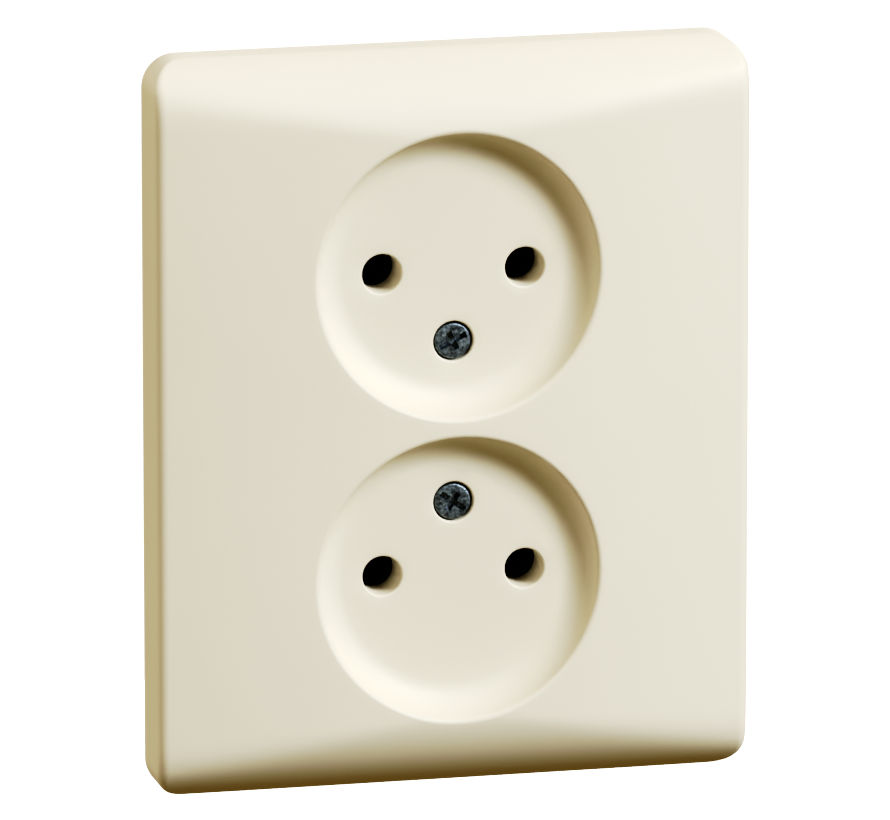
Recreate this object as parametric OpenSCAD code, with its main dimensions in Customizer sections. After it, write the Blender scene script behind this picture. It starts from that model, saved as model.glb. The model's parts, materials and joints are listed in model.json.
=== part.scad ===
// Duplex wall outlet: flush, two gang, unearthed, for a round 60 mm wall box.
// Millimetres. +X is right, +Z is up and +Y points into the wall.
// The origin is the middle of the wall surface: the cover stands in front of it (Y below 0)
// and the insert sits behind it in the box (Y above 0). "Height" is distance in front of the wall.

/* [Cover plate] */
// Width of the cover
cover_w = 79; // [77:0.5:82]
// Height of the cover from bottom to top
cover_tall = 98; // [95:0.5:100]
// Height of the face above the wall, at the middle
crown_h = 12.5; // [12:0.25:14]
// Height of the left and right side walls
side_h = 9.25; // [8:0.25:10]
// Height of the top and bottom edges, where the face has rolled over
roll_edge_h = 4; // [3.5:0.25:6]
// Length of the rolled band at the top and at the bottom
roll_len = 10.5; // [8:0.25:11]
// Slope of the rolled band where it leaves the crown, in degrees
roll_start = 8; // [2:1:30]
// Corner radius in the front view
corner_r = 4.4; // [4:0.2:8]
// Wall thickness of the moulding
cover_wall = 2.2; // [2:0.1:2.4]

/* [Sockets] */
// Distance between the two socket centres
socket_pitch = 40.2; // [39.6:0.2:41]
// Radius of each plug recess at the face
recess_r = 19.4; // [18:0.1:19.4]
// Depth of each recess below the crown
recess_depth = 4.3; // [4:0.1:5.8]
// Radius of the hollow fillet between the floor and the wall of a recess
fillet_r = 4; // [3:0.1:4]
// Distance between the two pins of a plug
pin_pitch = 19; // [18.8:0.1:19.2]
// Radius of a pin entry hole
pin_hole_r = 2.6; // [2.5:0.05:2.8]
// Distance between the two cover screws
screw_pitch = 21.4; // [21:0.2:22]

/* [Mounting frame] */
// Side of the square steel frame
frame_side = 71; // [68:0.5:73]
// Thickness of the steel
frame_t = 1.2; // [1:0.1:1.4]
// Distance between opposite box screws
box_pitch = 60; // [60:0.5:61]
// Width of a box screw slot
box_slot_w = 3.5; // [3.2:0.1:3.6]
// Length of a box screw slot
box_slot_len = 7; // [6:0.5:7]

/* [Insert] */
// Radius of the round outline of the housing
housing_r = 28.3; // [28:0.1:28.8]
// Width of the housing across its flats
housing_w = 38; // [37.6:0.1:38]
// Depth of the housing behind the wall
housing_d = 24.5; // [24.5:0.5:28]
// Radius of a wire entry hole
wire_hole_r = 1.5; // [1.4:0.05:1.6]

/* [Hidden] */

$fn = 64;

// Sides: line is on the right, neutral on the left
right = 1;
left = -1;
upper = 1;
lower = -1;

// Cover: one large cylinder crowns the face from left to right, and both ends roll over
crown_r = (pow(cover_w / 2, 2) + pow(crown_h - side_h, 2)) / (2 * (crown_h - side_h));
roll_drop = crown_h - roll_edge_h;
roll_end = 2 * atan(roll_drop / roll_len) - roll_start;
roll_r = norm([roll_len, roll_drop]) / (2 * sin((roll_end - roll_start) / 2));
roll_axis_z = cover_tall / 2 - roll_len - roll_r * sin(roll_start);
roll_axis_h = crown_h - roll_r * cos(roll_start);
roll_steps = 14;
arc_steps = 8;
socket_z = socket_pitch / 2;
screw_z = screw_pitch / 2;
pin_x = pin_pitch / 2;
floor_h = crown_h - recess_depth;
cup_r = recess_r + 1.2;
cup_back_h = floor_h - cover_wall;
wall_draft = 15;
rim_round = 0.7;
collar_r = 4.2;
boss_r = 4.1;
boss_back_h = 2.7;

// M3 cover screws with captive washers, in threaded bushes
m3_r = 1.5;
thread_bore_r = 1.56;
head_r = 2.4;
head_h = 1.8;
head_sink = 0.25;
head_clear = 0.05;
counterbore_r = 2.65;
screw_hole_r = 1.8;
screw_end_y = 8;
slot_w = 0.8;
slot_d = 0.9;
washer_r = 3;
washer_t = 0.8;
washer_front_h = 2.5;
washer_bore_r = 1.52;
bush_r = 3.2;
bush_y0 = 0.5;
bush_y1 = 9;

// Mounting frame, and the insulating contact cover that fills its window
frame_corner = 4;
window_r = 27.2;
window_w = 36.4;
window_gap = 0.2;
contact_cover_h = 2.4;
contact_cover_gap = 0.1;
pin_guide_r = 2.9;
washer_well_r = 3.6;
rivet_x = 20.5;
rivet_z = 17.5;
lug_r = 2.8;
lug_t = 2.5;
rivet_r = 1.3;
rivet_head_r = 2.3;
rivet_head_t = 0.7;
part_gap = 0.05;
lid_screw_z = 23.5;
lid_screw_r = 1.1;
lid_head_r = 2.2;
lid_head_h = 1.1;
lid_screw_end_y = 8;

// Live parts in the two troughs of the housing
trough_in = 5.6;
trough_out = 13.6;
trough_z = 23.8;
trough_d = 15.3;
bay_d = 21.5;
bay_z = 7.2;
strip_t = 0.8;
strip_w = 5.6;
strip_y = 14.4;
strip_z = 23;
tab_in = 11.5;
tab_z = 6.5;
tab_end_y = 21.2;
clip_w = 6;
clip_rivet_r = 1.2;
clip_rivet_head_r = 1.9;
cage_z = 6.6;
wire_z = 4;
spring_z = 5.6;
spring_leg_w = 3.2;
bridge_x = 10.6;
lever_w = 2.8;
lever_gap = 0.15;
lever_out = 2;
lever_tip_y = 19;
lever_shoulder_y = [20.2, 21.3];
lever_shoulder_w = 4.2;

// Claws that wedges spread against the inside of the wall box
claw_z = -7.4;
claw_w = 6.8;
claw_pivot = [24.6, 2.6];
claw_pin_r = 0.9;
claw_bore_r = 0.95;
claw_barrel_r = 1.5;
ear_t = 1.2;
ear_gap = 0.15;
ear_x = [22, 26.4];
ear_end_y = 4.6;
claw_screw_x = 21.3;
claw_screw_end_y = 22.5;
claw_hole_r = 1.7;
claw_head_r = 2.7;
claw_head_h = 2;
claw_clip_r = 2;
claw_clip_y = [0.3, 0.9];
wedge_w = 6;

// Colours
ivory = "#e2dcca";
zinc = "#7b8088";
steel = "#b8bbbd";
brass = "#c2a14d";
copper = "#b87a4b";
black_moulding = "#2d2a27";
nylon = "#e9e6dc";
release_orange = "#c8622a";

// Runs an outline drawn in X and Z from depth y0 to depth y1
module along_y(y0, y1) {
    translate([0, y1, 0]) rotate([90, 0, 0]) linear_extrude(y1 - y0) children();
}

// Runs an outline drawn in X and Y along Z, from z0 to z1
module along_z(z0, z1) {
    translate([0, 0, z0]) linear_extrude(z1 - z0) children();
}

// Runs an outline drawn in Z and height along X, centred
module along_x(length) {
    rotate([0, -90, 180]) translate([0, 0, -length / 2]) linear_extrude(length) children();
}

// Round bar along Y at (x, z)
module rod_y(r, y0, y1, x = 0, z = 0) {
    translate([x, y1, z]) rotate([90, 0, 0]) cylinder(r = r, h = y1 - y0);
}

module block(x0, x1, y0, y1, z0, z1) {
    translate([x0, y0, z0]) cube([x1 - x0, y1 - y0, z1 - z0]);
}

// Rectangle whose corners are true arcs
module rounded_rect(w, h, r) {
    square([w - 2 * r, h], center = true);
    square([w, h - 2 * r], center = true);
    for (sx = [-1, 1], sz = [-1, 1])
        translate([sx * (w / 2 - r), sz * (h / 2 - r)]) circle(r);
}

// Circle cut by a flat on its left and its right
module flatted_circle(r, w) {
    intersection() {
        circle(r);
        square([w, 2 * r + 2], center = true);
    }
}

// A part drawn for the right side, on the side asked for
module on_side(side) {
    mirror([side < 0 ? 1 : 0, 0, 0]) children();
}

// ---- Cover plate ----

// Point i of a rolled end, from the top of its arc outwards, moved inwards by t
function roll_point(side, i, t) = [
    side * (roll_axis_z + (roll_r - t) * sin(roll_end * i / roll_steps)),
    roll_axis_h + (roll_r - t) * cos(roll_end * i / roll_steps)
];

// Outline of the two rolled ends in Z and height, moved inwards by t; it clears the crown between them
function roll_outline(t) = concat(
    [[-cover_tall, -2], [-cover_tall, roll_edge_h - t]],
    [for (i = [roll_steps:-1:0]) roll_point(-1, i, t)],
    [for (i = [0:roll_steps]) roll_point(1, i, t)],
    [[cover_tall, roll_edge_h - t], [cover_tall, -2]]
);

// Outer form of the cover, moved inwards by t; an inner form runs out through the wall plane
module cover_form(t) {
    intersection() {
        along_y(-crown_h - 2, t > 0 ? 1 : 0)
            rounded_rect(cover_w - 2 * t, cover_tall - 2 * t, corner_r - t);
        translate([0, crown_r - crown_h, -cover_tall]) cylinder(r = crown_r - t, h = 2 * cover_tall);
        along_x(2 * cover_w) polygon(roll_outline(t));
    }
}

// Outline of a recess in radius and height: flat floor, hollow fillet, drafted wall, rounded rim
wall_top_r = recess_r - rim_round;
fillet_end_h = floor_h + fillet_r * (1 - sin(wall_draft));
fillet_end_r = wall_top_r - (crown_h - rim_round - fillet_end_h) * tan(wall_draft);
recess_floor_r = fillet_end_r - fillet_r * cos(wall_draft);
recess_outline = concat(
    [[0, crown_h + 2], [0, floor_h]],
    [for (i = [0:arc_steps]) let (a = -90 + (90 - wall_draft) * i / arc_steps)
        [recess_floor_r + fillet_r * cos(a), floor_h + fillet_r + fillet_r * sin(a)]],
    [for (i = [0:arc_steps]) let (a = 180 - 90 * i / arc_steps)
        [recess_r + rim_round * cos(a), crown_h - rim_round + rim_round * sin(a)]],
    [[recess_r, crown_h + 2]]
);

module recess_cut(z) {
    translate([0, 0, z]) rotate([90, 0, 0]) rotate_extrude($fn = 96) polygon(recess_outline);
}

// The cup behind a recess, the collars round its pin entries and the boss of its screw
module recess_back(row) {
    rod_y(cup_r, -crown_h - 1, -cup_back_h, 0, row * socket_z);
    for (side = [left, right])
        rod_y(collar_r, -floor_h, -boss_back_h, side * pin_x, row * socket_z);
    rod_y(boss_r, -floor_h, -boss_back_h, 0, row * screw_z);
}

module cover_plate() color(ivory) difference() {
    cover_form(0);
    difference() {
        cover_form(cover_wall);
        for (row = [lower, upper]) recess_back(row);
    }
    for (row = [lower, upper]) {
        recess_cut(row * socket_z);
        for (side = [left, right])
            rod_y(pin_hole_r, -crown_h, 0, side * pin_x, row * socket_z);
        rod_y(counterbore_r, -crown_h, head_sink + head_h + head_clear - floor_h, 0, row * screw_z);
        rod_y(screw_hole_r, -crown_h, 0, 0, row * screw_z);
    }
}

// ---- Cover screws and the bushes they turn in ----

module cover_screw(row) color(zinc) difference() {
    union() {
        rod_y(head_r, head_sink - floor_h, head_sink + head_h - floor_h, 0, row * screw_z);
        rod_y(m3_r, head_sink + head_h / 2 - floor_h, screw_end_y, 0, row * screw_z);
    }
    block(-head_r - 1, head_r + 1, -floor_h, head_sink + slot_d - floor_h,
        row * screw_z - slot_w / 2, row * screw_z + slot_w / 2);
}

module cover_screw_upper() cover_screw(upper);
module cover_screw_lower() cover_screw(lower);

module screw_washer(row) color(nylon) difference() {
    rod_y(washer_r, -washer_front_h, washer_t - washer_front_h, 0, row * screw_z);
    rod_y(washer_bore_r, -washer_front_h - 1, 1, 0, row * screw_z);
}

module screw_washer_upper() screw_washer(upper);
module screw_washer_lower() screw_washer(lower);

module threaded_bush(row) color(brass) difference() {
    rod_y(bush_r, bush_y0, bush_y1, 0, row * screw_z);
    rod_y(thread_bore_r, bush_y0 - 1, bush_y1 + 1, 0, row * screw_z);
}

module threaded_bush_upper() threaded_bush(upper);
module threaded_bush_lower() threaded_bush(lower);

// ---- Mounting frame and its rivets ----

module at_rivets() {
    for (sx = [-1, 1], sz = [-1, 1])
        translate([sx * rivet_x, 0, sz * rivet_z]) children();
}

module box_slot(side) {
    half = box_slot_len / 2 - box_slot_w / 2;
    for (s = [-1, 1])
        rod_y(box_slot_w / 2, -frame_t - 1, 1, side * box_pitch / 2 + s * half, 0);
    block(side * box_pitch / 2 - half, side * box_pitch / 2 + half, -frame_t - 1, 1,
        -box_slot_w / 2, box_slot_w / 2);
}

// Two lugs bent backwards from the frame on the right side; they hold a claw's pivot pin
module claw_ears() difference() {
    for (s = [-1, 1]) {
        near = claw_w / 2 + ear_gap;
        block(ear_x[0], ear_x[1], -frame_t / 2, ear_end_y,
            claw_z + (s > 0 ? near : -near - ear_t), claw_z + (s > 0 ? near + ear_t : -near));
    }
    along_z(claw_z - claw_w, claw_z + claw_w) translate(claw_pivot) circle(claw_bore_r);
}

module mounting_frame() color(steel) union() {
    difference() {
        along_y(-frame_t, 0) rounded_rect(frame_side, frame_side, frame_corner);
        along_y(-frame_t - 1, 1) flatted_circle(window_r, window_w);
        at_rivets() rod_y(rivet_r + part_gap, -frame_t - 1, 1);
        for (side = [left, right]) {
            box_slot(side);
            rod_y(box_slot_w / 2, -frame_t - 1, 1, 0, side * box_pitch / 2);
            rod_y(claw_hole_r, -frame_t - 1, 1, side * claw_screw_x, claw_z);
        }
    }
    for (side = [left, right]) on_side(side) claw_ears();
}

module frame_rivets() color(steel) at_rivets() {
    rod_y(rivet_r, -frame_t - rivet_head_t / 2, lug_t + rivet_head_t / 2);
    rod_y(rivet_head_r, -frame_t - rivet_head_t, -frame_t);
    rod_y(rivet_head_r, lug_t, lug_t + rivet_head_t);
}

// ---- Housing and its front cover ----

module housing_pockets(side) on_side(side) {
    block(trough_in, trough_out, -1, trough_d, -trough_z, trough_z);
    block(trough_in, trough_out, -1, bay_d, -bay_z, bay_z);
    for (row = [lower, upper])
        rod_y(clip_rivet_head_r + 0.2, trough_d - 1, trough_d + 1, pin_x, row * socket_z);
    for (row = [lower, upper])
        rod_y(wire_hole_r, bay_d - 1, housing_d + 1, pin_x, row * wire_z);
    half = lever_w / 2 + lever_gap;
    block(pin_x - half, pin_x + half, bay_d - 1, housing_d + 1, -half, half);
    block(trough_out + 1.4, housing_w / 2 - 1.5, 4, housing_d + 1, -12, 12);
}

module base_housing() color(black_moulding) difference() {
    union() {
        along_y(0, housing_d) flatted_circle(housing_r, housing_w);
        at_rivets() rod_y(lug_r, 0, lug_t);
    }
    for (side = [left, right]) housing_pockets(side);
    at_rivets() rod_y(rivet_r + part_gap, -1, lug_t + 1);
    at_rivets() rod_y(lug_r + 0.1, lug_t, housing_d + 1);
    for (row = [lower, upper]) {
        rod_y(bush_r + part_gap, -1, bush_y1 + part_gap, 0, row * screw_z);
        rod_y(screw_hole_r, 0, screw_end_y + 4, 0, row * screw_z);
        rod_y(lid_screw_r + part_gap, -1, lid_screw_end_y + 0.5, 0, row * lid_screw_z);
        block(-3.6, 3.6, 4, housing_d + 1, row * 18 - 2.8, row * 18 + 2.8);
    }
    block(-3.6, 3.6, 4, housing_d + 1, -6.4, 6.4);
}

module contact_cover() color(black_moulding) difference() {
    along_y(-contact_cover_h, -contact_cover_gap)
        flatted_circle(window_r - window_gap, window_w - 2 * window_gap);
    for (row = [lower, upper]) {
        for (side = [left, right])
            rod_y(pin_guide_r, -contact_cover_h - 1, 1, side * pin_x, row * socket_z);
        rod_y(washer_well_r, -contact_cover_h - 1, 1, 0, row * screw_z);
        rod_y(lid_screw_r + part_gap, -contact_cover_h - 1, 1, 0, row * lid_screw_z);
        rod_y(lid_head_r + part_gap, -contact_cover_h - 1, lid_head_h - contact_cover_h, 0,
            row * lid_screw_z);
    }
}

module contact_cover_screws() color(zinc) for (row = [lower, upper]) {
    rod_y(lid_head_r, -contact_cover_h, lid_head_h - contact_cover_h, 0, row * lid_screw_z);
    rod_y(lid_screw_r, -contact_cover_h + lid_head_h / 2, lid_screw_end_y, 0, row * lid_screw_z);
}

// ---- Live parts, drawn for the right side ----

module busbar(side) color(brass) on_side(side) difference() {
    union() {
        block(pin_x - strip_w / 2, pin_x + strip_w / 2, strip_y, strip_y + strip_t, -strip_z, strip_z);
        block(tab_in, pin_x + strip_w / 2, strip_y, tab_end_y, -tab_z, tab_z);
    }
    for (row = [lower, upper])
        rod_y(clip_rivet_r + part_gap, strip_y - 1, strip_y + 2, pin_x, row * socket_z);
}

module line_busbar() busbar(right);
module neutral_busbar() busbar(left);

// A contact clip in X and Y: its leaves narrow from the pin entry to a throat and join at the web
clip_outer = [[3.6, 2.4], [2.6, 5.6], [3.3, 12.2], [3.3, 14.35]];
clip_inner = [[2.6, 13.65], [2.6, 12.2], [1.9, 5.6], [2.9, 2.4]];
function reflected(points) = [for (i = [len(points) - 1:-1:0]) [-points[i][0], points[i][1]]];
clip_outline = concat(clip_outer, reflected(clip_outer), reflected(clip_inner), clip_inner);

module contact_clip(side, row) color(copper) difference() {
    translate([side * pin_x, 0, 0])
        along_z(row * socket_z - clip_w / 2, row * socket_z + clip_w / 2) polygon(clip_outline);
    rod_y(clip_rivet_r + part_gap, 13, 15, side * pin_x, row * socket_z);
}

module line_contact_upper() contact_clip(right, upper);
module line_contact_lower() contact_clip(right, lower);
module neutral_contact_upper() contact_clip(left, upper);
module neutral_contact_lower() contact_clip(left, lower);

module contact_rivets() color(copper) for (side = [left, right], row = [lower, upper]) {
    x = side * pin_x;
    z = row * socket_z;
    rod_y(clip_rivet_r, 13.3, strip_y + strip_t + 0.4, x, z);
    rod_y(clip_rivet_head_r, 12.95, 13.65, x, z);
    rod_y(clip_rivet_head_r, strip_y + strip_t, strip_y + strip_t + 0.7, x, z);
}

module terminal_cage(side) color(steel) on_side(side) along_z(-cage_z, cage_z)
    polygon([[5.9, 15.6], [7.4, 15.6], [7.4, 16.2], [6.5, 16.2],
        [6.5, 20.7], [7.4, 20.7], [7.4, 21.3], [5.9, 21.3]]);

module line_terminal_cage() terminal_cage(right);
module neutral_terminal_cage() terminal_cage(left);

// A clamp spring in X and Y: a back that stands in the cage and a leg that slants to the tab
spring_back_outline = [[6.6, 16.4], [7, 16.4], [7, 20.5], [6.6, 20.5]];
spring_leg_outline = [[6.8, 20.2], [10.85, 16.5], [11.15, 16.8], [7, 20.5], [6.8, 20.5]];

module clamp_spring(side) color(steel) on_side(side) {
    along_z(-spring_z, spring_z) polygon(spring_back_outline);
    for (row = [lower, upper])
        along_z(row * wire_z - spring_leg_w / 2, row * wire_z + spring_leg_w / 2)
            polygon(spring_leg_outline);
    intersection() {
        along_z(-spring_z, spring_z) polygon(spring_leg_outline);
        block(bridge_x, tab_in, strip_y, bay_d, -wire_z, wire_z);
    }
}

module line_clamp_spring() clamp_spring(right);
module neutral_clamp_spring() clamp_spring(left);

module release_lever(side) color(release_orange) on_side(side) {
    block(pin_x - lever_w / 2, pin_x + lever_w / 2, lever_tip_y, housing_d + lever_out,
        -lever_w / 2, lever_w / 2);
    block(pin_x - lever_w / 2, pin_x + lever_w / 2, lever_shoulder_y[0], lever_shoulder_y[1],
        -lever_shoulder_w / 2, lever_shoulder_w / 2);
}

module line_release_lever() release_lever(right);
module neutral_release_lever() release_lever(left);

// ---- Claws, drawn for the right side ----

// Arm of a claw in X and Y: it runs back from the pivot to a chamfered end with a tooth
claw_outline = [
    [23.9, 3], [25.3, 3], [25.1, 15.2], [27.4, 16.6], [27.4, 17.3], [25.1, 18.2], [23.9, 17]
];

module claw(side) color(steel) on_side(side) difference() {
    along_z(claw_z - claw_w / 2, claw_z + claw_w / 2) {
        polygon(claw_outline);
        translate(claw_pivot) circle(claw_barrel_r);
    }
    along_z(claw_z - claw_w, claw_z + claw_w) translate(claw_pivot) circle(claw_bore_r);
}

module claw_left() claw(left);
module claw_right() claw(right);

module claw_screw(side) color(zinc) difference() {
    union() {
        rod_y(m3_r, -frame_t - claw_head_h / 2, claw_screw_end_y, side * claw_screw_x, claw_z);
        rod_y(claw_head_r, -frame_t - claw_head_h, -frame_t, side * claw_screw_x, claw_z);
    }
    translate([side * claw_screw_x, 0, claw_z])
        block(-claw_head_r - 1, claw_head_r + 1, -frame_t - claw_head_h - 1,
            slot_d - frame_t - claw_head_h, -slot_w / 2, slot_w / 2);
}

module claw_screw_left() claw_screw(left);
module claw_screw_right() claw_screw(right);

// Retaining ring that keeps a claw screw in the frame
module claw_clip(side) color(steel) difference() {
    rod_y(claw_clip_r, claw_clip_y[0], claw_clip_y[1], side * claw_screw_x, claw_z);
    rod_y(m3_r + 0.02, claw_clip_y[0] - 1, claw_clip_y[1] + 1, side * claw_screw_x, claw_z);
}

module claw_clip_left() claw_clip(left);
module claw_clip_right() claw_clip(right);

// Wedge nut in X and Y: its slanted face pushes the end of the claw outwards
wedge_outline = [[19.15, 17.2], [23.7, 17.2], [26.4, 19.9], [26.4, 21.8], [19.15, 21.8]];

module claw_wedge(side) color(brass) on_side(side) difference() {
    along_z(claw_z - wedge_w / 2, claw_z + wedge_w / 2) polygon(wedge_outline);
    rod_y(thread_bore_r, 16, 23, claw_screw_x, claw_z);
}

module claw_wedge_left() claw_wedge(left);
module claw_wedge_right() claw_wedge(right);

module claw_pivot_pins() color(zinc) for (side = [left, right]) on_side(side)
    along_z(claw_z - claw_w / 2 - ear_gap - ear_t - 0.3, claw_z + claw_w / 2 + ear_gap + ear_t + 0.3)
        translate(claw_pivot) circle(claw_pin_r);

cover_plate();
cover_screw_upper();
cover_screw_lower();
screw_washer_upper();
screw_washer_lower();
mounting_frame();
frame_rivets();
base_housing();
contact_cover();
contact_cover_screws();
threaded_bush_upper();
threaded_bush_lower();
line_busbar();
neutral_busbar();
line_contact_upper();
line_contact_lower();
neutral_contact_upper();
neutral_contact_lower();
contact_rivets();
line_terminal_cage();
neutral_terminal_cage();
line_clamp_spring();
neutral_clamp_spring();
line_release_lever();
neutral_release_lever();
claw_left();
claw_right();
claw_screw_left();
claw_screw_right();
claw_wedge_left();
claw_wedge_right();
claw_clip_left();
claw_clip_right();
claw_pivot_pins();
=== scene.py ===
"""Looks for the duplex wall outlet: a fine cover plate, threaded screws and a material for every piece.

Everything is built in millimetres in the CAD's frame (+X right, +Y into the wall, +Z up) and turned
into metres when a mesh is made. "Height" means distance in front of the wall, so Y = -height.
"""

import json
import math

import bmesh
import bpy
import numpy as np
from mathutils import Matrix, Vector
from mathutils.geometry import delaunay_2d_cdt


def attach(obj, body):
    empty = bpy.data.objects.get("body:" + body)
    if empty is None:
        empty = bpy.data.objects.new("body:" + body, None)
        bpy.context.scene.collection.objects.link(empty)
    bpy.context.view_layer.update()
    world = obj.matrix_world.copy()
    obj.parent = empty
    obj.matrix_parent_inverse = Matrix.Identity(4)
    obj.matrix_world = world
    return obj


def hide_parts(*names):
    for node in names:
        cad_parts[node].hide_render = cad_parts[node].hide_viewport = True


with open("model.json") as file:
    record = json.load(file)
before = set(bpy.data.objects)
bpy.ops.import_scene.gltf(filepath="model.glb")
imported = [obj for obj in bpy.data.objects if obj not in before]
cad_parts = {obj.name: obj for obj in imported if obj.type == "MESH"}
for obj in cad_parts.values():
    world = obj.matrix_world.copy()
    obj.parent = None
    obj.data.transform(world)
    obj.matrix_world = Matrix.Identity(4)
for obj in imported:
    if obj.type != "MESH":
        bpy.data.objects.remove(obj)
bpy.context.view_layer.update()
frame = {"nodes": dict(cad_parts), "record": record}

MM = 0.001
TAU = 2 * math.pi

# ---- Sizes of the cover, the same as the CAD's ----
COVER_W, COVER_T = 79.0, 98.0
CROWN_H, SIDE_H = 12.5, 9.25
ROLL_EDGE_H, ROLL_LEN, ROLL_START = 4.0, 10.5, math.radians(8)
CORNER_R, COVER_WALL = 4.4, 2.2
SOCKET_Z, SCREW_Z, PIN_X = 20.1, 10.7, 9.5
FLOOR_H = 8.2
FILLET_R, DRAFT = 4.0, math.radians(15)
WALL_BASE_R = 18.53
WALL_BASE_H = FLOOR_H + FILLET_R * (1 - math.sin(DRAFT))
PIN_HOLE_R, COUNTERBORE_R, SCREW_HOLE_R = 2.6, 2.65, 1.8
SEAT_H, COLLAR_BACK_H, CUP_BACK_H = 6.1, 2.7, 6.0
COLLAR_R, BOSS_R, CUP_R = 4.2, 4.1, 20.6

# ---- Finish of the moulding, finer than the CAD ----
MELT = 3.0           # how sharply the crown turns into the rolled ends; higher is sharper
EDGE_R = 1.5         # rounding where the face meets the side walls
RIM_R = 0.7          # rounding of a recess's rim
HOLE_R = 0.3         # rounding at the mouth of a hole
BACK_R = 0.25        # rounding at the wall edge
COLLAR_EDGE = 0.15   # chamfer at the back of a collar or boss

# ---- How finely the cover is divided ----
AROUND, HOLE_N = 176, 48             # points round a recess and round a hole
FILLET_STEPS, RIM_STEPS = 12, 8
EDGE_STEPS, BACK_STEPS, MOUTH_STEPS = 6, 3, 4
WALL_ROWS = (4.0, 2.0, BACK_R)       # heights of the rows down a side wall
PIN_ROW_H = 5.0                      # height of a row inside a pin hole
EDGE_ROWS = (0.12, 0.35, 0.7, 1.2)   # distances of the rows that follow the edge of the face
FACE_N, ROLL_STEP = 65, math.radians(2.5)
FACE_CLEAR, PLAIN_CLEAR = 0.45, 0.6  # room between loose points and loops, on the face and elsewhere
FLOOR_STEP, FLOOR_REACH = 1.4, 13.6  # the loose points of a recess's floor
BACK_HALF_W, BACK_HALF_T = 37, 46    # the loose points at the back of the face, and how many
BACK_COLUMNS, BACK_ROWS = 40, 56
CUP_N = 129                          # points round the back of one cup
SETTLE = 12                          # rounds in which a rounding finds its place
STEEPEST = math.radians(80)          # the most that the face may fall where its edge is rounded
NO_AREA = 1e-4                       # a flatter triangle is left out of a filled surface
SAME_PLACE = 1e-7                    # points this close are one point of a filled surface


class Shell:
    """Collects points and faces in millimetres; points in the same place are one vertex."""

    def __init__(self):
        self.points, self.faces, self.seen = [], [], {}

    def at(self, x, h, z):
        key = (round(x, 4), round(h, 4), round(z, 4))
        if key not in self.seen:
            self.seen[key] = len(self.points)
            self.points.append((x * MM, -h * MM, z * MM))
        return self.seen[key]

    def face(self, *ids):
        corners = [i for k, i in enumerate(ids) if i != ids[k - 1]]
        if len(set(corners)) == len(corners) and len(corners) > 2:
            self.faces.append(corners)

    def ring(self, pts, height):
        """Vertex ids of a loop at one height, or at a height for each point."""
        hs = np.broadcast_to(np.asarray(height, float), (len(pts),))
        return [self.at(float(x), float(h), float(z)) for (x, z), h in zip(pts, hs)]

    def grow(self, last, pts, height):
        """Quads from the ring of ids called last to a new ring, whose ids it gives."""
        new = self.ring(pts, height)
        for k in range(len(new)):
            self.face(last[k - 1], last[k], new[k], new[k - 1])
        return new

    def tube(self, loops, heights):
        """A surface through a row of loops; gives the first and the last, each with its ids."""
        first = last = self.ring(loops[0], heights[0])
        for pts, height in zip(loops[1:], heights[1:]):
            last = self.grow(last, pts, height)
        return (loops[0], first), (loops[-1], last)

    def turned(self, cx, cz, steps, n):
        """A round surface through steps of (radius, height); gives the same as tube."""
        return self.tube([circle(cx, cz, r, n) for r, _ in steps], [h for _, h in steps])

    def mesh(self, name):
        bm = bmesh.new()
        verts = [bm.verts.new(p) for p in self.points]
        for corners in self.faces:
            bm.faces.new([verts[i] for i in corners])
        unused = [v for v in verts if not v.link_faces]
        bmesh.ops.delete(bm, geom=unused, context="VERTS")
        bmesh.ops.recalc_face_normals(bm, faces=bm.faces)
        data = bpy.data.meshes.new(name)
        bm.to_mesh(data)
        bm.free()
        return data


# ---- Heights of the face ----
CROWN_R = ((COVER_W / 2) ** 2 + (CROWN_H - SIDE_H) ** 2) / (2 * (CROWN_H - SIDE_H))
ROLL_DROP = CROWN_H - ROLL_EDGE_H
ROLL_END = 2 * math.atan(ROLL_DROP / ROLL_LEN) - ROLL_START
ROLL_R = math.hypot(ROLL_LEN, ROLL_DROP) / (2 * math.sin((ROLL_END - ROLL_START) / 2))
ROLL_AXIS_Z = COVER_T / 2 - ROLL_LEN - ROLL_R * math.sin(ROLL_START)
ROLL_AXIS_H = CROWN_H - ROLL_R * math.cos(ROLL_START)


def face_h(x, z):
    """Height of the face: a crown across, rolled over at both ends, the two melted together."""
    crown_fall = CROWN_R - np.sqrt(np.maximum(CROWN_R ** 2 - x ** 2, 0))
    out = np.maximum(np.abs(z) - ROLL_AXIS_Z, 0)
    roll = ROLL_AXIS_H + np.sqrt(np.maximum(ROLL_R ** 2 - out ** 2, 0))
    roll_fall = np.maximum(CROWN_H - roll, 0)
    return CROWN_H - (crown_fall ** MELT + roll_fall ** MELT) ** (1 / MELT)


def slope(x, z, nx, nz, step=0.02):
    """Fall of the face per millimetre in the direction (nx, nz)."""
    return (face_h(x - nx * step, z - nz * step) - face_h(x + nx * step, z + nz * step)) / (2 * step)


# ---- Loops and filled surfaces ----
def circle(cx, cz, r, n):
    a = np.arange(n) * TAU / n
    return np.stack([cx + r * np.cos(a), cz + r * np.sin(a)], 1)


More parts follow.
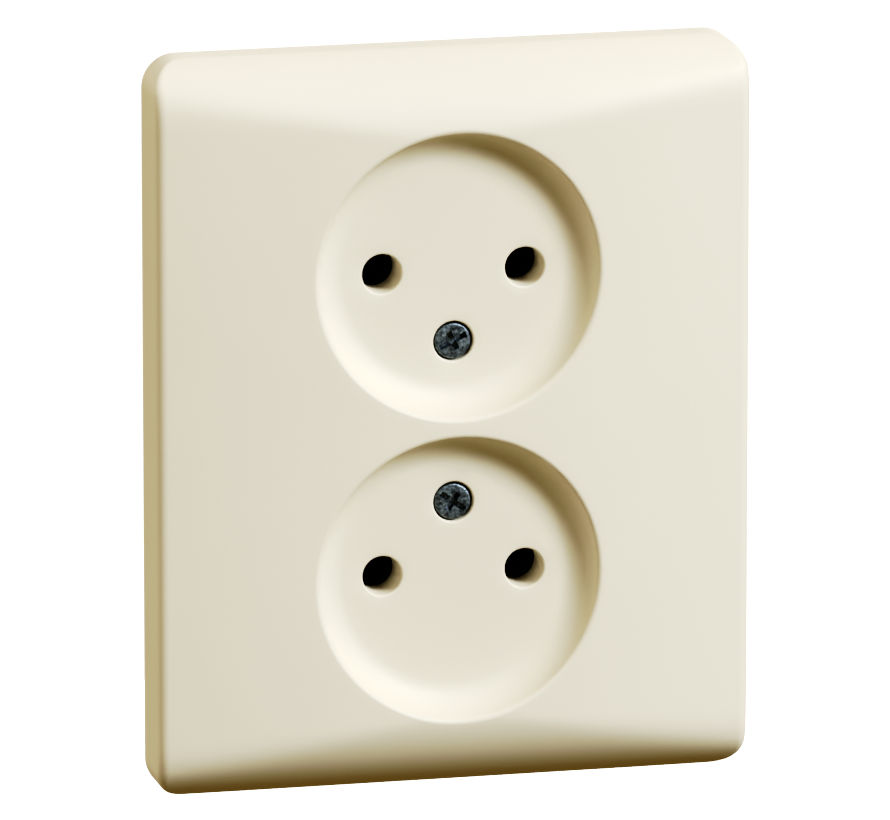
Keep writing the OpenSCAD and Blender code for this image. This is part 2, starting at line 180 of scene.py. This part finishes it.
def outline(w, t, r, spacing=1.0, corner_n=14):
    """Points and outward normals round a rectangle with rounded corners."""
    pts, nrm = [], []
    corners = [(1, 1, 0), (-1, 1, 90), (-1, -1, 180), (1, -1, 270)]
    for k, (sx, sz, start) in enumerate(corners):
        cx, cz = sx * (w / 2 - r), sz * (t / 2 - r)
        for j in range(corner_n + 1):
            a = math.radians(start + 90 * j / corner_n)
            pts.append((cx + r * math.cos(a), cz + r * math.sin(a)))
            nrm.append((math.cos(a), math.sin(a)))
        side = (t if k % 2 else w) - 2 * r
        n = max(1, round(side / spacing))
        a = math.radians(start + 90)
        dx, dz = -math.sin(a), math.cos(a)
        x0, z0 = pts[-1]
        for j in range(1, n):
            pts.append((x0 + dx * side * j / n, z0 + dz * side * j / n))
            nrm.append((math.cos(a), math.sin(a)))
    return np.array(pts), np.array(nrm)


def inside(points, loop):
    """Which points lie inside a closed loop."""
    x, z = points[:, 0][:, None], points[:, 1][:, None]
    x1, z1 = loop[:, 0][None], loop[:, 1][None]
    x2, z2 = np.roll(loop[:, 0], -1)[None], np.roll(loop[:, 1], -1)[None]
    crosses = (z1 > z) != (z2 > z)
    with np.errstate(divide="ignore", invalid="ignore"):
        at = x1 + (z - z1) * (x2 - x1) / (z2 - z1)
    return ((crosses & (x < at)).sum(1) % 2) == 1


def clear_of(points, loops, gap):
    """The points that are further than gap from the points and the mid-points of every loop."""
    for pts in loops:
        pts = np.concatenate([pts, (pts + np.roll(pts, -1, 0)) / 2])
        nearest = [np.hypot(*(pts - p).T).min() for p in points]
        points = points[np.array(nearest) > gap]
    return points


def fill(shell, loops, grid=(), height=None):
    """Triangles between the first loop and the others; a loop is (points, ids).
    grid has loose points for the surface between, and height(x, z) gives the height of each."""
    coords, ids, edges = [], [], []
    for pts, loop_ids in loops:
        base = len(coords)
        coords += [Vector((float(x), float(z))) for x, z in pts]
        ids += loop_ids
        edges += [(base + k, base + (k + 1) % len(pts)) for k in range(len(pts))]
    for x, z in grid:
        coords.append(Vector((float(x), float(z))))
        ids.append(shell.at(float(x), float(height(x, z)), float(z)))
    places, _, tris, origin, _, _ = delaunay_2d_cdt(coords, edges, [], 0, SAME_PLACE)
    corners = np.array([[tuple(places[i]) for i in tri] for tri in tris])
    side_a, side_b = corners[:, 1] - corners[:, 0], corners[:, 2] - corners[:, 0]
    keep = np.abs(side_a[:, 0] * side_b[:, 1] - side_a[:, 1] * side_b[:, 0]) > NO_AREA
    centre = corners.mean(1)
    keep &= inside(centre, loops[0][0])
    for pts, _ in loops[1:]:
        keep &= ~inside(centre, pts)
    for tri in np.array(tris)[keep]:
        shell.face(*(ids[origin[i][0]] for i in tri))


# ---- The cover ----
def side_walls(s):
    """The side walls, outside and inside, and the rows of the face that follow its edge.
    Gives the last of those rows and the walls' inner top, each a loop with its ids."""
    pts, nrm = outline(COVER_W, COVER_T, CORNER_R)
    lean = np.zeros(len(pts))
    for _ in range(SETTLE):
        edge = pts - nrm * (EDGE_R * (1 - np.sin(lean)))[:, None]
        fall = slope(edge[:, 0], edge[:, 1], nrm[:, 0], nrm[:, 1])
        lean = np.clip(np.arctan(fall), 0, STEEPEST)
    top_h = face_h(edge[:, 0], edge[:, 1])
    centre_h = top_h - EDGE_R * np.cos(lean)
    edge_ids = s.ring(edge, top_h)

    # Over the rounded edge of the face and down to the wall
    last = edge_ids
    for j in range(1, EDGE_STEPS + 1):
        g = lean + (math.pi / 2 - lean) * j / EDGE_STEPS
        last = s.grow(last, pts - nrm * (EDGE_R * (1 - np.sin(g)))[:, None], centre_h + EDGE_R * np.cos(g))
    for h in WALL_ROWS:
        last = s.grow(last, pts, np.minimum(centre_h, h))

    # Round the wall edge and up the inner side
    inner = pts - nrm * COVER_WALL
    turns = [math.pi / 2 * j / BACK_STEPS for j in range(1, BACK_STEPS + 1)]
    for g in turns:
        last = s.grow(last, pts - nrm * BACK_R * (1 - math.cos(g)), BACK_R * (1 - math.sin(g)))
    for g in reversed(turns):
        last = s.grow(last, inner + nrm * BACK_R * (1 - math.cos(g)), BACK_R * (1 - math.sin(g)))
    inner_h = face_h(inner[:, 0], inner[:, 1]) - COVER_WALL
    for f in (0.0, 0.5, 1.0):
        last = s.grow(last, inner, BACK_R + (inner_h - BACK_R) * f)

    for inset in EDGE_ROWS:
        row = edge - nrm * inset
        edge_ids = s.grow(edge_ids, row, face_h(row[:, 0], row[:, 1]))
    return (row, edge_ids), (inner, last)


def recess_wall(s, cz):
    """The wall of a recess, from the fillet at its floor up over the rim, which follows the face."""
    a = np.arange(AROUND) * TAU / AROUND
    ca, sa = np.cos(a), np.sin(a)
    wall_top = np.full(AROUND, CROWN_H - RIM_R)
    for _ in range(SETTLE):
        wall_r = WALL_BASE_R + (wall_top - WALL_BASE_H) * math.tan(DRAFT)
        centre_r = wall_r + RIM_R * math.cos(DRAFT)
        centre_h = wall_top - RIM_R * math.sin(DRAFT)
        lean = np.arctan(slope(centre_r * ca, cz + centre_r * sa, ca, sa))
        rim_r = centre_r + RIM_R * np.sin(lean)
        wall_top += face_h(rim_r * ca, cz + rim_r * sa) - (centre_h + RIM_R * np.cos(lean))
    radii, heights = [], []
    floor_r = WALL_BASE_R - FILLET_R * math.cos(DRAFT)
    for b in np.linspace(-math.pi / 2, -DRAFT, FILLET_STEPS + 1):
        radii.append(floor_r + FILLET_R * math.cos(b))
        heights.append(FLOOR_H + FILLET_R * (1 + math.sin(b)))
    start, end = math.pi - DRAFT, math.pi / 2 - lean
    for j in range(RIM_STEPS + 1):
        b = start + (end - start) * j / RIM_STEPS
        radii.append(centre_r + RIM_R * np.cos(b))
        heights.append(centre_h + RIM_R * np.sin(b))
    heights[-1] = face_h(radii[-1] * ca, cz + radii[-1] * sa)
    return s.tube([np.stack([r * ca, cz + r * sa], 1) for r in radii], heights)


def mouth(r, h):
    """Steps of (radius, height) at the mouth of a hole, rounded by HOLE_R."""
    turns = [math.pi / 2 * j / MOUTH_STEPS for j in range(MOUTH_STEPS + 1)]
    return [(r + HOLE_R * (1 - math.sin(b)), h - HOLE_R * (1 - math.cos(b))) for b in turns]


def collar(r):
    """Steps up the outside of a collar or boss, from the chamfer at its back end."""
    return [(r - COLLAR_EDGE, COLLAR_BACK_H), (r, COLLAR_BACK_H + COLLAR_EDGE), (r, CUP_BACK_H)]


def recess(s, sign):
    """One recess with its holes; gives its rim, and where its collars and boss meet the cup's back."""
    cz = sign * SOCKET_Z
    pin_steps = mouth(PIN_HOLE_R, FLOOR_H) + [
        (PIN_HOLE_R, PIN_ROW_H), (PIN_HOLE_R, COLLAR_BACK_H + COLLAR_EDGE),
        (PIN_HOLE_R + COLLAR_EDGE, COLLAR_BACK_H)] + collar(COLLAR_R)
    screw_steps = mouth(COUNTERBORE_R, FLOOR_H) + [
        (COUNTERBORE_R, SEAT_H), (SCREW_HOLE_R, SEAT_H), (SCREW_HOLE_R, COLLAR_BACK_H)] + collar(BOSS_R)
    floor, rim = recess_wall(s, cz)
    passages = [s.turned(x, z, steps, HOLE_N) for x, z, steps in
                ((-PIN_X, cz, pin_steps), (PIN_X, cz, pin_steps), (0, sign * SCREW_Z, screw_steps))]
    loops = [floor] + [front for front, _ in passages]
    # The floor is filled with points a little apart, so that its light is even
    count = math.ceil(FLOOR_REACH / FLOOR_STEP)
    row = np.arange(-count, count + 1) * FLOOR_STEP
    grid = np.array([(x, cz + z) for x in row for z in row if math.hypot(x, z) < FLOOR_REACH])
    fill(s, loops, clear_of(grid, [pts for pts, _ in loops], PLAIN_CLEAR), lambda x, z: FLOOR_H)
    return rim, [end for _, end in passages]


def face(s, edge, rims):
    """The face between its edge and the rims of the recesses."""
    rolled = ROLL_AXIS_Z + ROLL_R * np.sin(np.arange(0, ROLL_END, ROLL_STEP))
    rolled = rolled[rolled < edge[0][:, 1].max() - FACE_CLEAR]
    xs = np.linspace(-COVER_W / 2, COVER_W / 2, FACE_N)
    zs = np.concatenate([-rolled[::-1], np.linspace(-ROLL_AXIS_Z, ROLL_AXIS_Z, FACE_N)[1:-1], rolled])
    grid = np.array([(x, z) for x in xs for z in zs])
    keep = inside(grid, edge[0])
    for pts, _ in rims:
        keep &= ~inside(grid, pts)
    loops = [edge] + rims
    fill(s, loops, clear_of(grid[keep], [pts for pts, _ in loops], FACE_CLEAR), face_h)


def back(s, inner, ends):
    """The back of the two cups, which run into each other, and the back of the face round them."""
    half = math.sqrt(CUP_R ** 2 - SOCKET_Z ** 2)
    waist = math.atan2(-SOCKET_Z, half)
    arc = np.linspace(waist, math.pi - waist, CUP_N)[:-1]
    upper = np.stack([CUP_R * np.cos(arc), SOCKET_Z + CUP_R * np.sin(arc)], 1)
    cup = np.concatenate([upper, -upper])
    ceiling_h = face_h(cup[:, 0], cup[:, 1]) - COVER_WALL
    low, high = s.tube([cup] * 3, [CUP_BACK_H + (ceiling_h - CUP_BACK_H) * f for f in (0.0, 0.5, 1.0)])
    fill(s, [low] + ends)
    xs = np.linspace(-BACK_HALF_W, BACK_HALF_W, BACK_COLUMNS)
    zs = np.linspace(-BACK_HALF_T, BACK_HALF_T, BACK_ROWS)
    grid = np.array([(x, z) for x in xs for z in zs])
    grid = grid[inside(grid, inner[0]) & ~inside(grid, cup)]
    grid = clear_of(grid, [inner[0], cup], PLAIN_CLEAR)
    fill(s, [inner, high], grid, lambda x, z: face_h(x, z) - COVER_WALL)


def cover_mesh():
    s = Shell()
    edge, inner = side_walls(s)
    lower_rim, lower_ends = recess(s, -1)
    upper_rim, upper_ends = recess(s, 1)
    face(s, edge, [lower_rim, upper_rim])
    back(s, inner, lower_ends + upper_ends)
    return s.mesh("cover")


# ---- Screws ----
SCREW_N = 40                                # points round a screw
HEAD_R, HEAD_STEPS = 0.3, 5                 # rounding of a head's top edge
UNDER_R, NECK_R, NECK_H = 0.1, 0.12, 0.15   # chamfer under a head, and fillet between head and shank
SHANK_GAP = 0.02                            # how much thinner than the CAD's the visual shank is
PITCH, DEPTH, ROWS_A_TURN = 0.5, 0.275, 6   # the thread
LEAST_DEPTH = 0.2                           # share of the thread's depth that is left at its end
RUN_OUT, END_R, END_H = 0.4, 0.25, 0.12     # plain end below the thread, and its chamfer
DRIVER_H = 0.85                             # depth of the driver recess
DRIVER_TAPER = (0.12, 0.25, 0.08)           # what its long arm, short arm and half width lose going down

# A driver recess is (length of its long arm, length of its short arm or 0, half its width)
COVER_SCREW = dict(top_h=7.95, head_r=2.4, head_t=1.8, shank_r=1.5, plain=5.4, end_h=-8.0,
                   driver=(1.95, 1.3, 0.38))
CLAW_SCREW = dict(top_h=3.2, head_r=2.7, head_t=2.0, shank_r=1.5, plain=4.0, end_h=-22.5,
                  driver=(2.3, 0, 0.42))
CLAW_SCREW_X, CLAW_SCREW_Z = 21.3, -7.4


def driver_outline(x, z, turn, long_r, short_r, half_w):
    """A driver recess: a long slot with, unless short_r is 0, a shorter one across it."""
    w = half_w
    half = [(long_r, -w), (long_r, w)]
    if short_r:
        half += [(w, w), (w, short_r), (-w, short_r), (-w, w)]
    c, s = math.cos(turn), math.sin(turn)
    return np.array([(x + c * u - s * v, z + s * u + c * v) for u, v in half + [(-u, -v) for u, v in half]])


def screw_mesh(name, x, z, turn, top_h, head_r, head_t, shank_r, plain, end_h, driver):
    """A screw along Y with a pan head, a driver recess turned by turn, and a cut thread."""
    s = Shell()
    under_h = top_h - head_t
    crest_r = shank_r - SHANK_GAP
    turns = [math.pi / 2 * j / HEAD_STEPS for j in range(HEAD_STEPS + 1)]
    steps = [(head_r - HEAD_R * (1 - math.sin(b)), top_h - HEAD_R * (1 - math.cos(b))) for b in turns]
    steps += [(head_r, under_h + UNDER_R), (head_r - UNDER_R, under_h), (shank_r + NECK_R, under_h),
              (crest_r, under_h - NECK_H), (crest_r, under_h - plain)]
    head, (_, last) = s.turned(x, z, steps, SCREW_N)

    # The thread: the surface runs in and out along a helix and fades at both ends
    start = under_h - plain
    rows = int((start - end_h - RUN_OUT) / PITCH * ROWS_A_TURN)
    a = np.arange(SCREW_N) * TAU / SCREW_N
    for j in range(1, rows + 1):
        h = start - j * PITCH / ROWS_A_TURN
        wave = np.abs(((h / PITCH - a / TAU) % 1.0) * 2 - 1)
        fade = min(1.0, j / ROWS_A_TURN, (rows - j) / ROWS_A_TURN + LEAST_DEPTH)
        r = crest_r - DEPTH * fade * wave
        last = s.grow(last, np.stack([x + r * np.cos(a), z + r * np.sin(a)], 1), h)
    for r, h in ((shank_r - DEPTH, end_h + END_H), (shank_r - DEPTH - END_R, end_h)):
        last = s.grow(last, circle(x, z, r, SCREW_N), h)
    s.face(*last)

    narrow = [max(0, size - taper) for size, taper in zip(driver, DRIVER_TAPER)]
    outlines = [driver_outline(x, z, turn, *sizes) for sizes in (driver, narrow)]
    top, low = s.tube(outlines, (top_h, top_h - DRIVER_H))
    fill(s, [head, top])
    fill(s, [low])
    return s.mesh(name)


# ---- Materials ----
class Nodes:
    """A few helpers for one material's nodes."""

    def __init__(self, name):
        self.mat = bpy.data.materials.new(name)
        self.mat.use_nodes = True
        self.tree = self.mat.node_tree
        self.tree.nodes.clear()
        out = self.new("ShaderNodeOutputMaterial")
        self.shader = self.new("ShaderNodeBsdfPrincipled")
        self.link(self.shader.outputs[0], out.inputs[0])
        self.coords = self.new("ShaderNodeTexCoord").outputs["Object"]

    def new(self, kind):
        return self.tree.nodes.new(kind)

    def link(self, a, b):
        self.tree.links.new(a, b)

    def stretch(self, scale):
        """What is made after this is drawn out along the axes whose scale is small."""
        mapping = self.new("ShaderNodeMapping")
        mapping.inputs["Scale"].default_value = scale
        self.link(self.coords, mapping.inputs[0])
        self.coords = mapping.outputs[0]

    def noise(self, per_metre, detail=3.0, rough=0.5):
        n = self.new("ShaderNodeTexNoise")
        n.inputs["Scale"].default_value = per_metre
        n.inputs["Detail"].default_value = detail
        n.inputs["Roughness"].default_value = rough
        self.link(self.coords, n.inputs["Vector"])
        return n.outputs["Fac"]

    def cells(self, per_metre):
        """A grey of its own for each cell of a Voronoi pattern."""
        v = self.new("ShaderNodeTexVoronoi")
        v.inputs["Scale"].default_value = per_metre
        self.link(self.coords, v.inputs["Vector"])
        grey = self.new("ShaderNodeRGBToBW")
        self.link(v.outputs["Color"], grey.inputs[0])
        return grey.outputs[0]

    def ramp(self, value, low, high, start=0.3, end=0.7):
        """A colour that runs from low to high while the value runs from start to end."""
        r = self.new("ShaderNodeValToRGB")
        r.color_ramp.elements[0].position = start
        r.color_ramp.elements[0].color = (*low, 1)
        r.color_ramp.elements[1].position = end
        r.color_ramp.elements[1].color = (*high, 1)
        self.link(value, r.inputs[0])
        return r.outputs[0]

    def times(self, a, b):
        """The product of two colours."""
        m = self.new("ShaderNodeMix")
        m.data_type = "RGBA"
        m.blend_type = "MULTIPLY"
        m.inputs[0].default_value = 1.0
        self.link(a, m.inputs[6])
        self.link(b, m.inputs[7])
        return m.outputs[2]

    def spread(self, value, low, high):
        """Runs from low to high while the value runs over the middle half of its range."""
        m = self.new("ShaderNodeMapRange")
        m.inputs["From Min"].default_value = 0.25
        m.inputs["From Max"].default_value = 0.75
        m.inputs["To Min"].default_value = low
        m.inputs["To Max"].default_value = high
        self.link(value, m.inputs["Value"])
        return m.outputs[0]

    def bump(self, value, strength, depth):
        b = self.new("ShaderNodeBump")
        b.inputs["Strength"].default_value = strength
        b.inputs["Distance"].default_value = depth
        self.link(value, b.inputs["Height"])
        self.link(b.outputs[0], self.shader.inputs["Normal"])

    def finish(self, colour, rough, metallic):
        self.link(colour, self.shader.inputs["Base Color"])
        self.link(rough, self.shader.inputs["Roughness"])
        self.shader.inputs["Metallic"].default_value = metallic
        return self.mat


WHITE = (1, 1, 1)


def shade(colour, k):
    return tuple(min(1.0, c * k) for c in colour)


def moulding(name, colour, rough, grain=0.25, drift=0.015):
    """Moulded plastic: a fine satin grain, with slow changes of tone and gloss."""
    n = Nodes(name)
    tone = n.ramp(n.noise(28, detail=2), shade(colour, 1 - drift), shade(colour, 1 + drift))
    n.bump(n.noise(2600, detail=3, rough=0.6), strength=grain, depth=0.00005)
    return n.finish(tone, n.spread(n.noise(140, detail=4), rough - 0.05, rough + 0.05), metallic=0.0)


def zinc(name, colour, rough, speck, per_metre):
    """Zinc plating with dark specks and a rough, pitted surface."""
    n = Nodes(name)
    tone = n.ramp(n.noise(per_metre * 0.25), shade(colour, 0.75), shade(colour, 1.3))
    specks = n.ramp(n.noise(per_metre, detail=5, rough=0.7), (speck,) * 3, WHITE, start=0.40, end=0.62)
    n.bump(n.noise(per_metre * 1.4, detail=4, rough=0.6), strength=0.5, depth=0.00012)
    gloss = n.spread(n.noise(per_metre * 0.5), rough - 0.12, rough + 0.12)
    return n.finish(n.times(tone, specks), gloss, metallic=0.85)


def galvanised(name, colour, rough):
    """Hot-dip zinc: crystals of slightly different brightness over dull streaks."""
    n = Nodes(name)
    crystals = n.cells(430)
    tone = n.ramp(crystals, shade(colour, 0.86), shade(colour, 1.1), start=0.15, end=0.85)
    streaks = n.ramp(n.noise(90, detail=4), (0.82, 0.83, 0.85), WHITE)
    n.bump(n.noise(1800, detail=4), strength=0.25, depth=0.00008)
    return n.finish(n.times(tone, streaks), n.spread(crystals, rough - 0.05, rough + 0.07), metallic=0.9)


def drawn(name, colour, rough, along, stain=0.8):
    """Drawn or rolled metal: fine lines along one direction and a light stain."""
    n = Nodes(name)
    stains = n.ramp(n.noise(110, detail=4), shade(colour, stain), shade(colour, 1.12))
    n.stretch(along)
    lines = n.noise(1500, detail=3, rough=0.6)
    n.bump(lines, strength=0.22, depth=0.00006)
    tone = n.times(stains, n.ramp(lines, (0.85, 0.85, 0.85), WHITE))
    return n.finish(tone, n.spread(n.noise(600), rough - 0.08, rough + 0.1), metallic=1.0)


MATERIALS = {
    "ivory_moulding": moulding("ivory_moulding", (0.80, 0.738, 0.60), 0.55, grain=0.12),
    "dark_zinc": zinc("dark_zinc", (0.30, 0.355, 0.40), 0.45, 0.35, 2300),
    "white_nylon": moulding("white_nylon", (0.80, 0.80, 0.76), 0.5, drift=0.03),
    "galvanised_steel": galvanised("galvanised_steel", (0.52, 0.545, 0.58), 0.50),
    "zinc_steel": zinc("zinc_steel", (0.55, 0.57, 0.60), 0.34, 0.6, 1500),
    "black_moulding": moulding("black_moulding", (0.062, 0.062, 0.066), 0.46, grain=0.35, drift=0.12),
    "brass": drawn("brass", (0.78, 0.57, 0.25), 0.30, (1, 1, 0.08)),
    "copper_alloy": drawn("copper_alloy", (0.80, 0.47, 0.30), 0.32, (1, 0.08, 1)),
    "spring_steel": drawn("spring_steel", (0.52, 0.53, 0.56), 0.26, (1, 1, 0.06), 0.9),
    "orange_moulding": moulding("orange_moulding", (0.78, 0.22, 0.03), 0.42, drift=0.05),
}
SLOT_OF = {part["node"]: part["material_slot"] for part in frame["record"]["subparts"]}


# ---- Finer pieces in place of CAD nodes ----
def fine_piece(data, body, node, smooth_deg=35):
    """Hangs a finer piece on a body in place of its CAD node."""
    ob = bpy.data.objects.new(node + "_fine", data)
    bpy.context.scene.collection.objects.link(ob)
    data.shade_smooth()
    data.set_sharp_from_angle(angle=math.radians(smooth_deg))
    data.materials.append(MATERIALS[SLOT_OF[node]])
    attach(ob, body)
    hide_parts(node)


fine_piece(cover_mesh(), "cover", "cover_plate", smooth_deg=50)
for row, sign, turn in (("upper", 1, 0.45), ("lower", -1, -0.6)):
    node = f"cover_screw_{row}"
    fine_piece(screw_mesh(node, 0, sign * SCREW_Z, turn, **COVER_SCREW), node, node)
for side, sign, turn in (("left", -1, 1.2), ("right", 1, 0.2)):
    node = f"claw_screw_{side}"
    fine_piece(screw_mesh(node, sign * CLAW_SCREW_X, CLAW_SCREW_Z, turn, **CLAW_SCREW), node, node)

# ---- The CAD's own pieces: softened edges and their materials ----
SOFT_EDGE = 0.06
SOFT_EDGES = {"base_housing": 0.35, "contact_cover": 0.2, "mounting_frame": 0.12, "frame_rivets": 0.12,
              "claw_left": 0.15, "claw_right": 0.15, "claw_wedge_left": 0.25, "claw_wedge_right": 0.25}
WELD_GAP = 0.002
REPLACED = {"cover_plate", "cover_screw_upper", "cover_screw_lower", "claw_screw_left", "claw_screw_right"}
for name, ob in frame["nodes"].items():
    if name in REPLACED:
        continue
    ob.data.materials.clear()
    ob.data.materials.append(MATERIALS[SLOT_OF[name]])
    weld = ob.modifiers.new("weld", "WELD")
    weld.merge_threshold = WELD_GAP * MM
    bevel = ob.modifiers.new("soft_edges", "BEVEL")
    bevel.width = SOFT_EDGES.get(name, SOFT_EDGE) * MM
    bevel.segments = 2
    bevel.limit_method = "ANGLE"
    bevel.angle_limit = math.radians(38)
    bevel.harden_normals = True
    bevel.use_clamp_overlap = True

# ---- Floor, light and camera, in metres ----
FLOOR_HALF, FLOOR_Z = 12.0, -0.45
floor_data = bpy.data.meshes.new("floor")
corners = [(x * FLOOR_HALF, y * FLOOR_HALF, FLOOR_Z) for x, y in ((-1, -1), (1, -1), (1, 1), (-1, 1))]
floor_data.from_pydata(corners, [], [(0, 1, 2, 3)])
floor = bpy.data.objects.new("floor", floor_data)
bpy.context.scene.collection.objects.link(floor)
pale = bpy.data.materials.new("floor")
pale.use_nodes = True
pale_shader = pale.node_tree.nodes["Principled BSDF"]
pale_shader.inputs["Base Color"].default_value = (0.95, 0.95, 0.95, 1)
pale_shader.inputs["Roughness"].default_value = 0.9
pale_shader.inputs["Emission Color"].default_value = (1, 1, 1, 1)
pale_shader.inputs["Emission Strength"].default_value = 0.9
floor_data.materials.append(pale)
floor.visible_diffuse = False
floor.visible_glossy = False

scene = bpy.context.scene
scene.view_settings.view_transform = "Standard"

# The camera's tone curve: deep shadows, bright middle tones and gently rolled-off highlights
TONE = ((0.0, 0.0), (0.04, 0.012), (0.17, 0.175), (0.34, 0.47), (0.55, 0.695), (0.85, 0.90), (1.0, 1.0))
scene.view_settings.use_curve_mapping = True
tone_curve = scene.view_settings.curve_mapping.curves[3]
for x, y in TONE[1:-1]:
    tone_curve.points.new(x, y)
scene.view_settings.curve_mapping.update()

# A wide pale glow on the upper left lights the sides that turn away from the key; the rest of the room is dim
FRONT_FILL = (0.06, 0.046, 0.018, 1)
BELOW_FILL = (0.16, 0.12, 0.045, 1)
BACKDROP = (0.30, 0.27, 0.21, 1)
GLOW = (0.90, 0.84, 0.72, 1)
GLOW_FROM = (-0.76, 0.12, 0.64)
LAMP_D = 1.6


def make_world():
    world = bpy.data.worlds.new("studio")
    world.use_nodes = True
    tree = world.node_tree
    background = tree.nodes["Background"]
    coords = tree.nodes.new("ShaderNodeTexCoord")
    split = tree.nodes.new("ShaderNodeSeparateXYZ")
    tree.links.new(coords.outputs["Generated"], split.inputs[0])

    def step(value, low, high):
        m = tree.nodes.new("ShaderNodeMapRange")
        m.interpolation_type = "SMOOTHSTEP"
        m.inputs["From Min"].default_value = low
        m.inputs["From Max"].default_value = high
        tree.links.new(value, m.inputs["Value"])
        return m.outputs[0]

    def blend(factor, a, b):
        m = tree.nodes.new("ShaderNodeMix")
        m.data_type = "RGBA"
        tree.links.new(factor, m.inputs[0])
        for socket, value in ((6, a), (7, b)):
            if isinstance(value, tuple):
                m.inputs[socket].default_value = value
            else:
                tree.links.new(value, m.inputs[socket])
        return m.outputs[2]

    behind = step(split.outputs["Y"], low=0.0, high=0.3)
    above = step(split.outputs["Z"], low=-0.5, high=0.15)
    toward = tree.nodes.new("ShaderNodeVectorMath")
    toward.operation = "DOT_PRODUCT"
    toward.inputs[1].default_value = GLOW_FROM
    tree.links.new(coords.outputs["Generated"], toward.inputs[0])
    room = blend(above, BELOW_FILL, blend(behind, FRONT_FILL, BACKDROP))
    light = blend(step(toward.outputs["Value"], low=0.3, high=0.95), room, GLOW)
    seen = tree.nodes.new("ShaderNodeLightPath").outputs["Is Camera Ray"]
    tree.links.new(blend(seen, light, (1, 1, 1, 1)), background.inputs[0])
    return world


scene.world = make_world()


def lamp(name, direction, size, power, colour):
    """A round area light, LAMP_D off in a direction from the origin and turned to face it."""
    data = bpy.data.lights.new(name, "AREA")
    data.shape = "DISK"
    data.size = size
    data.energy = power
    data.color = colour
    ob = bpy.data.objects.new(name, data)
    d = Vector(direction).normalized()
    ob.location = d * LAMP_D
    ob.rotation_mode = "QUATERNION"
    ob.rotation_quaternion = d.to_track_quat("Z", "Y")
    scene.collection.objects.link(ob)


lamp("key", (0.57, -0.64, 0.515), size=0.68, power=28, colour=(0.90, 0.95, 1.0))
# Behind and a little below, where it lights the back but none of the sides that the photo shows
lamp("rear", (0.38, 0.92, -0.06), size=1.2, power=7, colour=(1.0, 0.97, 0.92))

CAM_AZ, CAM_EL = math.radians(-13.4), math.radians(13.2)
CAM_D, CAM_AIM = 1650.0, (-0.60, -6.0, 1.085)   # distance and aim, in millimetres
FOCAL_WIDTHS = 14.2674                          # focal length as a multiple of the picture's width
SENSOR_W = 36.0
cam_data = bpy.data.cameras.new("camera")
cam = bpy.data.objects.new("camera", cam_data)
scene.collection.objects.link(cam)
scene.camera = cam
level = math.cos(CAM_EL)
outward = Vector((math.sin(CAM_AZ) * level, -math.cos(CAM_AZ) * level, math.sin(CAM_EL)))
cam.location = (Vector(CAM_AIM) + outward * CAM_D) * MM
cam.rotation_mode = "QUATERNION"
cam.rotation_quaternion = outward.to_track_quat("Z", "Y")
cam_data.sensor_width = SENSOR_W
cam_data.lens = FOCAL_WIDTHS * SENSOR_W
cam_data.clip_start, cam_data.clip_end = 0.05, 60
